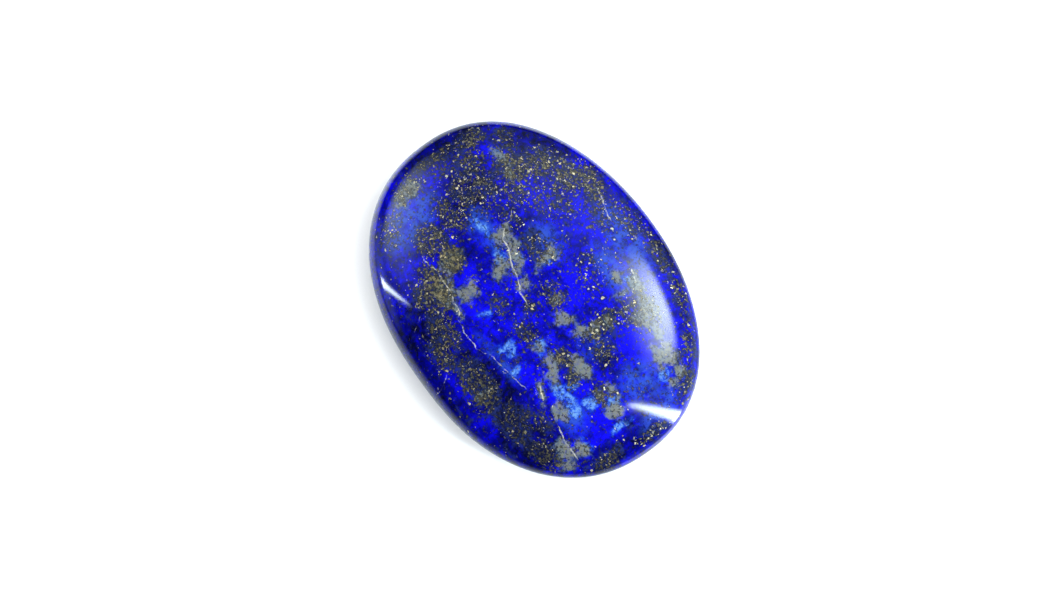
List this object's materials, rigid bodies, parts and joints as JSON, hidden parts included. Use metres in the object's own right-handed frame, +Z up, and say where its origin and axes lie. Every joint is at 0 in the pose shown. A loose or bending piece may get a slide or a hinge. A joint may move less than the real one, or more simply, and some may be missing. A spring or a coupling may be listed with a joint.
{
  "type": "polished lapis lazuli palm stone",
  "caption": "Oval pillow-shaped pebble of polished lapis lazuli, deep blue with grey calcite veins and fine gold pyrite, lying on a small flat spot.",
  "frame": {"origin": "on the surface that the stone lies on, under the middle of its outline", "axes": "+X along the stone's length, +Y across it, +Z up from the flat spot"},
  "size_m": [0.0646, 0.047, 0.0155],
  "materials": {
    "lapis": "polished"
  },
  "bodies": {
    "root": {"stone": "lapis"}
  },
  "joints": []
}
